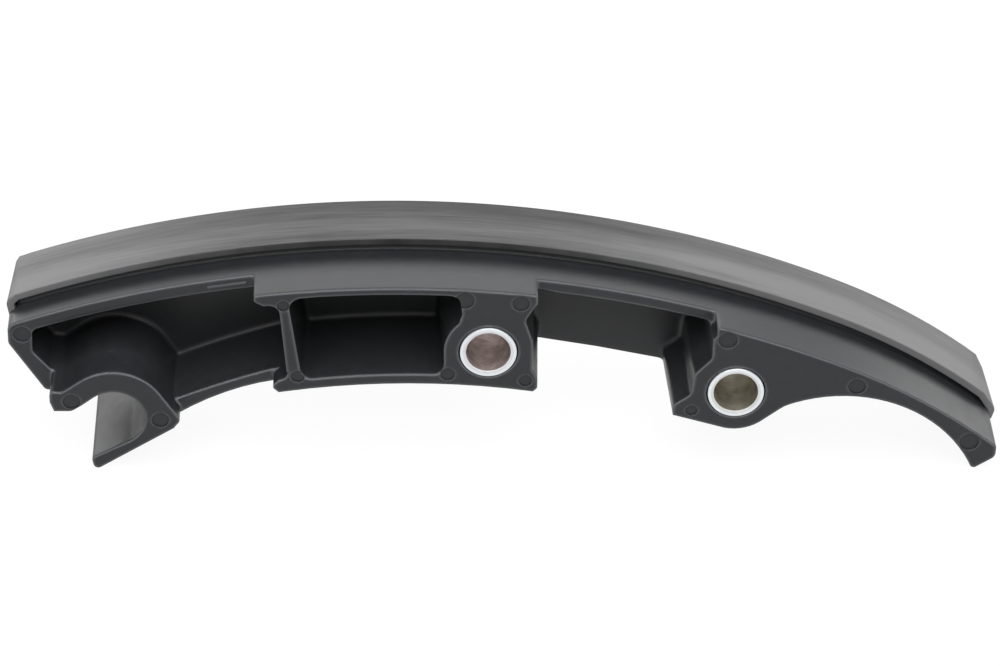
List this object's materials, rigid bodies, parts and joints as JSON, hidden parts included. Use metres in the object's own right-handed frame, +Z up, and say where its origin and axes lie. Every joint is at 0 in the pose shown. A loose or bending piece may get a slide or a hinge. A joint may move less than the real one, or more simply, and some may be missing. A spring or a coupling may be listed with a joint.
{
  "type": "timing chain guide",
  "caption": "Fixed timing chain guide: a ribbed moulded carrier with a hooked end and steel bolt sleeves, topped by an arched sliding shoe.",
  "frame": {"origin": "centre of the guide's footprint, on the surface that the two lower tips stand on", "axes": "+X along the guide from the hooked end to the curved tail, +Y from the front face to the rear along the bolt axes, +Z up towards the running surface"},
  "size_m": [0.1954, 0.028, 0.0448],
  "materials": {
    "carrier_nylon": "black glass-filled nylon, as moulded",
    "shoe_nylon": "dark grey wear-resistant nylon, smooth with faint lengthwise bands",
    "sleeve_steel": "turned and zinc plated"
  },
  "bodies": {
    "root": {"support_body": "carrier_nylon", "sliding_shoe": "shoe_nylon", "middle_sleeve": "sleeve_steel", "end_sleeve": "sleeve_steel"}
  },
  "joints": []
}
